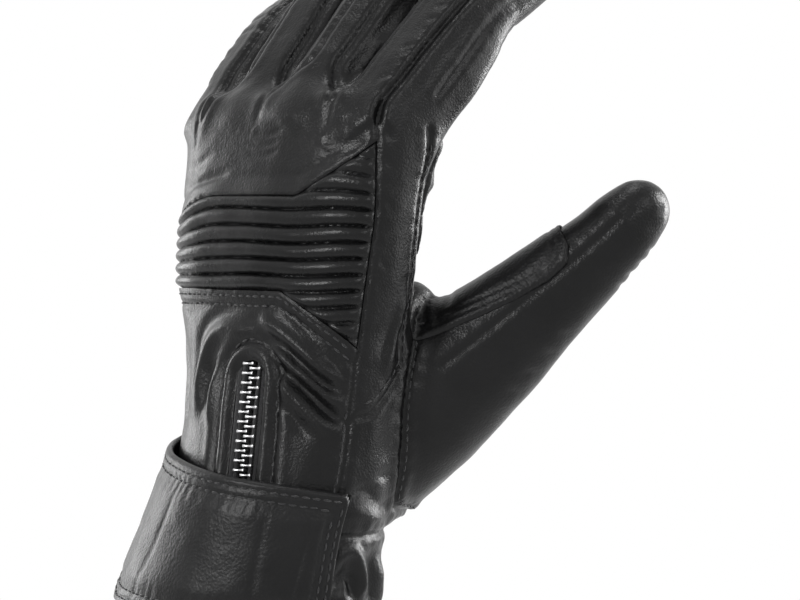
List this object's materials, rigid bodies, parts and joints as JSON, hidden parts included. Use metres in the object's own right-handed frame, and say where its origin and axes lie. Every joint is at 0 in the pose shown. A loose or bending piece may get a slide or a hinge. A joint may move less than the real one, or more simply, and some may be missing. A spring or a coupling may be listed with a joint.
{
  "type": "riding glove",
  "caption": "Left leather riding glove with a ribbed flex panel, a zip on the back of the wrist, a wrist strap with hook-and-loop, and bending fingers and thumb.",
  "frame": {"origin": "centre of the cuff's opening, in the plane of its hem", "axes": "+Z from the cuff towards the fingers, +Y out of the palm, -Y out of the back of the hand, +X to the thumb side"},
  "size_m": [0.1473, 0.1294, 0.2354],
  "materials": {
    "leather": "semi-gloss full grain",
    "ribbed_leather": "semi-gloss, ribbed",
    "fleece": "brushed",
    "zip_tape": "woven",
    "zip_metal": "polished",
    "hook_and_loop": "pile"
  },
  "bodies": {
    "hand": {"cuff_back_inner": "leather", "cuff_back_outer": "leather", "cuff_lining": "fleece", "cuff_palm": "leather", "finger_web": "leather", "hand_lining": "fleece", "hem_binding": "leather", "index_side_panel": "leather", "knuckle_panel": "leather", "loop_tape": "hook_and_loop", "palm_grip_patch": "leather", "palm_panel": "leather", "ribbed_panel": "ribbed_leather", "strap_root": "leather", "thumb_root": "leather", "thumb_root_lining": "fleece", "wrist_back_panel": "leather", "zip_end_stop": "zip_metal", "zip_guard": "fleece", "zip_tape_inner": "zip_tape", "zip_tape_outer": "zip_tape", "zip_teeth_inner": "zip_metal", "zip_teeth_outer": "zip_metal"},
    "little_finger_base": {"little_finger_base_back": "leather", "little_finger_base_front": "leather", "little_finger_base_lining": "fleece"},
    "little_finger_tip": {"little_finger_tip_back": "leather", "little_finger_tip_front": "leather", "little_finger_tip_lining": "fleece"},
    "ring_finger_base": {"ring_finger_base_back": "leather", "ring_finger_base_front": "leather", "ring_finger_base_lining": "fleece"},
    "ring_finger_tip": {"ring_finger_tip_back": "leather", "ring_finger_tip_front": "leather", "ring_finger_tip_lining": "fleece"},
    "middle_finger_base": {"middle_finger_base_back": "leather", "middle_finger_base_front": "leather", "middle_finger_base_lining": "fleece"},
    "middle_finger_tip": {"middle_finger_tip_back": "leather", "middle_finger_tip_front": "leather", "middle_finger_tip_lining": "fleece"},
    "index_finger_base": {"index_finger_base_back": "leather", "index_finger_base_front": "leather", "index_finger_base_lining": "fleece"},
    "index_finger_tip": {"index_finger_tip_back": "leather", "index_finger_tip_front": "leather", "index_finger_tip_lining": "fleece"},
    "thumb_base": {"thumb_base_back": "leather", "thumb_base_front": "leather", "thumb_base_lining": "fleece", "thumb_grip_patch": "leather"},
    "thumb_tip": {"thumb_tip_back": "leather", "thumb_tip_front": "leather", "thumb_tip_lining": "fleece"},
    "strap": {"wrist_strap": "leather", "hook_tape": "hook_and_loop"},
    "slider": {"zip_slider": "zip_metal"},
    "pull_tab": {"zip_pull_tab": "zip_metal"}
  },
  "joints": [
    {"name": "little_knuckle", "type": "hinge", "parent": "hand", "child": "little_finger_base", "pos_m": [-0.02404, 0.02052, 0.17319], "axis": [-0.9989, -0.0292, -0.0365], "range_deg": [-30, 40], "stiffness_Nm_per_rad": 0.3},
    {"name": "little_middle_joint", "type": "hinge", "parent": "little_finger_base", "child": "little_finger_tip", "pos_m": [-0.02546, 0.03943, 0.19692], "axis": [-0.9989, -0.0292, -0.0365], "range_deg": [-20, 45], "stiffness_Nm_per_rad": 0.15},
    {"name": "ring_knuckle", "type": "hinge", "parent": "hand", "child": "ring_finger_base", "pos_m": [-0.00114, 0.01784, 0.17446], "axis": [-0.9999, -0.0095, -0.013], "range_deg": [-30, 40], "stiffness_Nm_per_rad": 0.4},
    {"name": "ring_middle_joint", "type": "hinge", "parent": "ring_finger_base", "child": "ring_finger_tip", "pos_m": [-0.00178, 0.041, 0.2063], "axis": [-0.9999, -0.0095, -0.013], "range_deg": [-20, 45], "stiffness_Nm_per_rad": 0.2},
    {"name": "middle_knuckle", "type": "hinge", "parent": "hand", "child": "middle_finger_base", "pos_m": [0.02299, 0.01733, 0.17481], "axis": [-0.9992, 0.0241, 0.0317], "range_deg": [-30, 40], "stiffness_Nm_per_rad": 0.45},
    {"name": "middle_middle_joint", "type": "hinge", "parent": "middle_finger_base", "child": "middle_finger_tip", "pos_m": [0.02468, 0.04289, 0.20856], "axis": [-0.9992, 0.0241, 0.0317], "range_deg": [-20, 45], "stiffness_Nm_per_rad": 0.225},
    {"name": "index_knuckle", "type": "hinge", "parent": "hand", "child": "index_finger_base", "pos_m": [0.04722, 0.02159, 0.17311], "axis": [-0.9933, 0.0731, 0.0891], "range_deg": [-30, 40], "stiffness_Nm_per_rad": 0.4},
    {"name": "index_middle_joint", "type": "hinge", "parent": "index_finger_base", "child": "index_finger_tip", "pos_m": [0.05164, 0.04571, 0.20263], "axis": [-0.9933, 0.0731, 0.0891], "range_deg": [-20, 45], "stiffness_Nm_per_rad": 0.2},
    {"name": "thumb_knuckle", "type": "hinge", "parent": "hand", "child": "thumb_base", "pos_m": [0.05122, 0.04878, 0.10901], "axis": [0.6691, -0.7431, 0], "range_deg": [-18, 15], "stiffness_Nm_per_rad": 0.5},
    {"name": "thumb_middle_joint", "type": "hinge", "parent": "thumb_base", "child": "thumb_tip", "pos_m": [0.07633, 0.07138, 0.13838], "axis": [0.6691, -0.7431, 0], "range_deg": [-12, 36], "stiffness_Nm_per_rad": 0.2},
    {"name": "strap_open", "type": "hinge", "parent": "hand", "child": "strap", "pos_m": [-0.027, -0.00778, 0.06375], "axis": [-0.2469, -0.197, -0.9488], "range_deg": [0, 100]},
    {"name": "zip_slide", "type": "slide", "parent": "hand", "child": "slider", "axis": [-0.0785, 0.1766, 0.9811], "range_m": [0, 0.07], "deforming": ["zip_teeth_outer", "zip_teeth_inner", "zip_tape_outer", "zip_tape_inner"]},
    {"name": "tab_swing", "type": "hinge", "parent": "slider", "child": "pull_tab", "pos_m": [0.02973, -0.02747, 0.02735], "axis": [-0.9487, -0.3156, -0.0191], "range_deg": [0, 115]}
  ]
}
